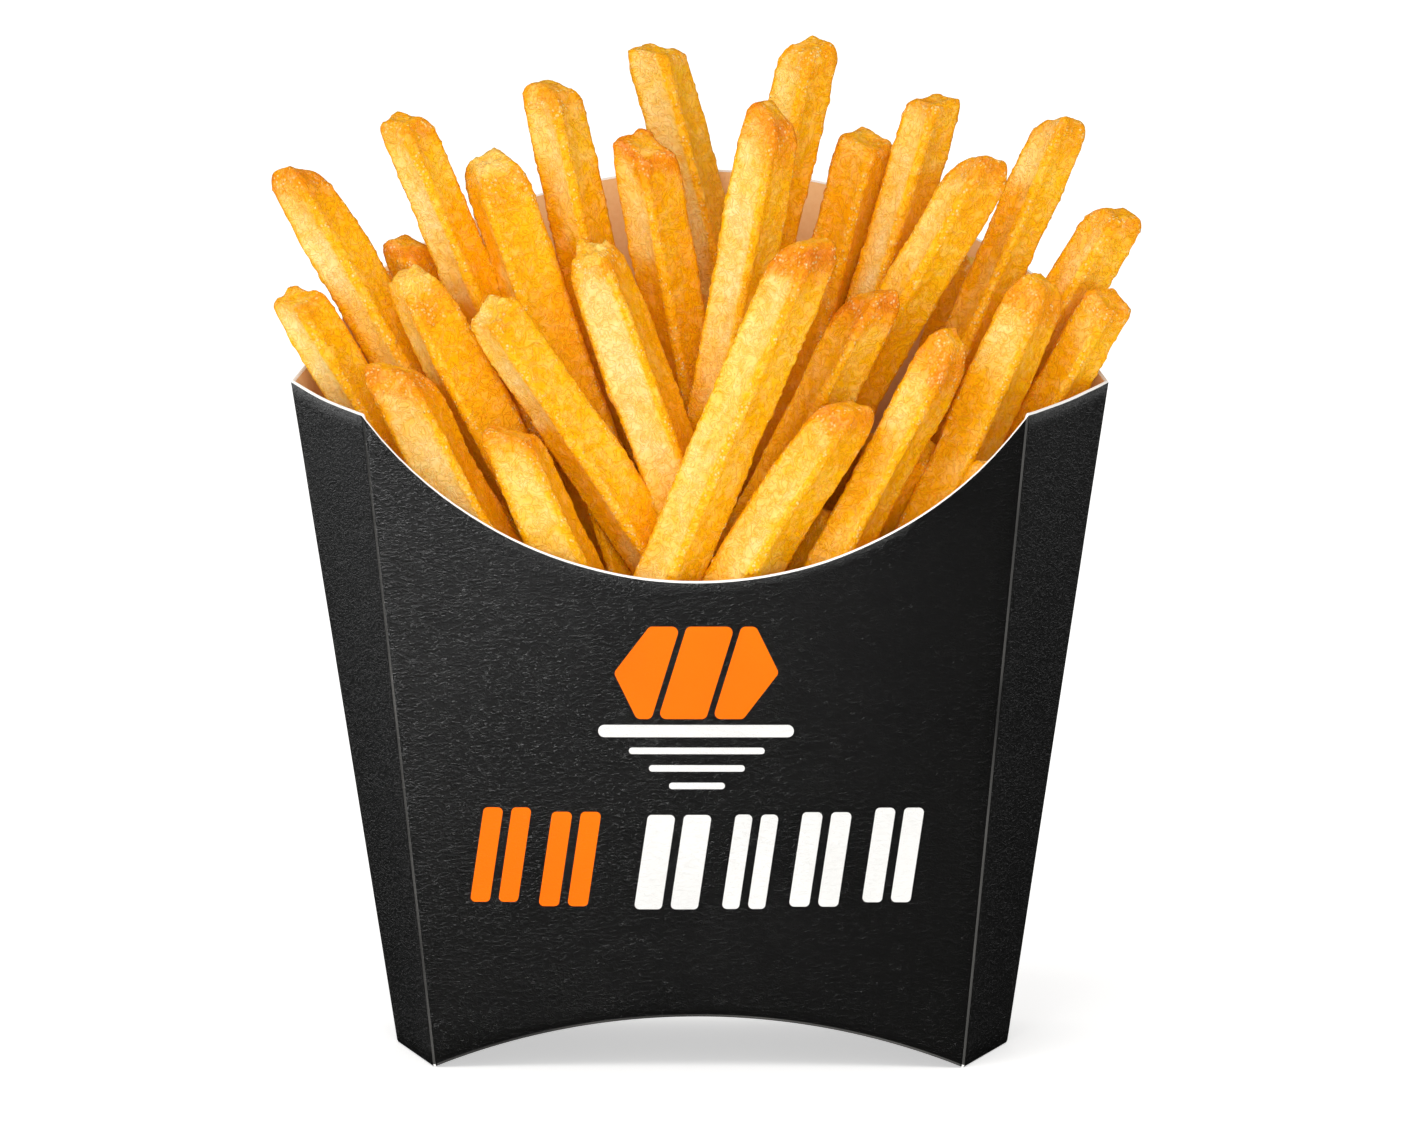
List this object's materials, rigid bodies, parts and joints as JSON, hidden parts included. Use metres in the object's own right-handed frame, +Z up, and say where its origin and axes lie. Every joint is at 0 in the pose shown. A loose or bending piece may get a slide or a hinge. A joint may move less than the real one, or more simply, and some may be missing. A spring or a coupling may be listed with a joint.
{
  "type": "french fries in a carton",
  "caption": "Takeaway french fries standing in a folded black paperboard scoop carton with an arched foot.",
  "frame": {"origin": "middle of the whole object's footprint box, on the floor it stands on", "axes": "+Z up, the scooped front of the carton faces -Y, side corners at -X and +X"},
  "size_m": [0.1282, 0.0534, 0.1527],
  "materials": {
    "board": "black printed paperboard with a fine leather emboss, white cut edges and a tan inside",
    "fried_potato": null
  },
  "bodies": {
    "root": {"carton": "board", "fries": "fried_potato"}
  },
  "joints": []
}
